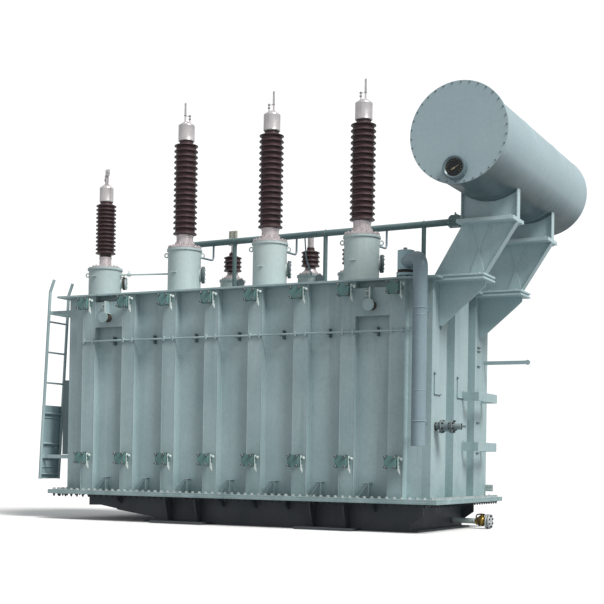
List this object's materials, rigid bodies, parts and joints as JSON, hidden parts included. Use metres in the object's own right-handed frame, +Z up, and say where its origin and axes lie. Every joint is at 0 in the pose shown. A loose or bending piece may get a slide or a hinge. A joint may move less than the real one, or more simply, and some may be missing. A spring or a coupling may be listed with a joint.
{
  "type": "power transformer",
  "caption": "High-voltage power transformer: ribbed bell tank on a black base, porcelain bushings on turrets, conservator drum on brackets, gas pipe, valves and an end ladder.",
  "frame": {"origin": "on the ground at the centre of the tank, on the underside of the lower tank", "axes": "+X along the tank towards the conservator, -Y is the high-voltage face, +Z up"},
  "size_m": [7.0889, 3.927, 5.8185],
  "materials": {
    "bare_metal": "dull cast aluminium",
    "base_paint": "matt black bitumen paint",
    "brass": "dull brass",
    "galvanised": "dull zinc",
    "gauge_black": "gloss black",
    "pipe_paint": "satin bluish grey enamel",
    "porcelain": "glossy dark brown glaze",
    "tank_paint": "satin grey-green enamel, dusty",
    "terminal_block": "matt beige",
    "turret_paint": "satin pale grey-green enamel",
    "valve_paint": "satin dark grey-green enamel"
  },
  "bodies": {
    "root": {"base_ribs": "base_paint", "bushing_fittings_a": "bare_metal", "bushing_fittings_b": "bare_metal", "bushing_fittings_c": "bare_metal", "cabinet_brackets": "tank_paint", "cable_bar": "tank_paint", "cable_duct": "tank_paint", "conservator_end_cover": "tank_paint", "conservator_shell": "tank_paint", "drain_valve": "brass", "earthing_pads": "galvanised", "far_leg": "tank_paint", "far_upper_bracket": "tank_paint", "far_wall_bracket": "tank_paint", "foot_plates": "base_paint", "front_conduit": "pipe_paint", "front_lower_valves": "valve_paint", "front_stiffeners": "tank_paint", "front_upper_valves": "valve_paint", "gas_pipe": "turret_paint", "gas_relay": "turret_paint", "insulator_a": "porcelain", "insulator_b": "porcelain", "insulator_c": "porcelain", "ladder": "tank_paint", "ladder_guard": "tank_paint", "left_end_stiffeners": "tank_paint", "left_lifting_lugs": "tank_paint", "lower_flange": "tank_paint", "lower_tank": "base_paint", "lv_insulators": "porcelain", "lv_terminals": "terminal_block", "lv_turrets": "turret_paint", "near_leg": "tank_paint", "near_upper_bracket": "tank_paint", "near_wall_bracket": "tank_paint", "neutral_fittings": "bare_metal", "neutral_insulator": "porcelain", "neutral_link_pipe": "pipe_paint", "neutral_turret": "turret_paint", "oil_level_gauge": "gauge_black", "pipe_post_left": "pipe_paint", "pipe_post_middle": "pipe_paint", "pipe_post_right": "pipe_paint", "rear_lower_valves": "valve_paint", "rear_stiffeners": "tank_paint", "rear_upper_valves": "valve_paint", "relief_pipe": "pipe_paint", "relief_valve": "turret_paint", "right_end_stiffeners": "tank_paint", "right_lifting_lugs": "tank_paint", "sampling_valve": "tank_paint", "small_gas_pipes": "pipe_paint", "tank_body": "tank_paint", "tank_cover": "tank_paint", "turret_a": "turret_paint", "turret_b": "turret_paint", "turret_c": "turret_paint", "upper_flange": "tank_paint"}
  },
  "joints": []
}
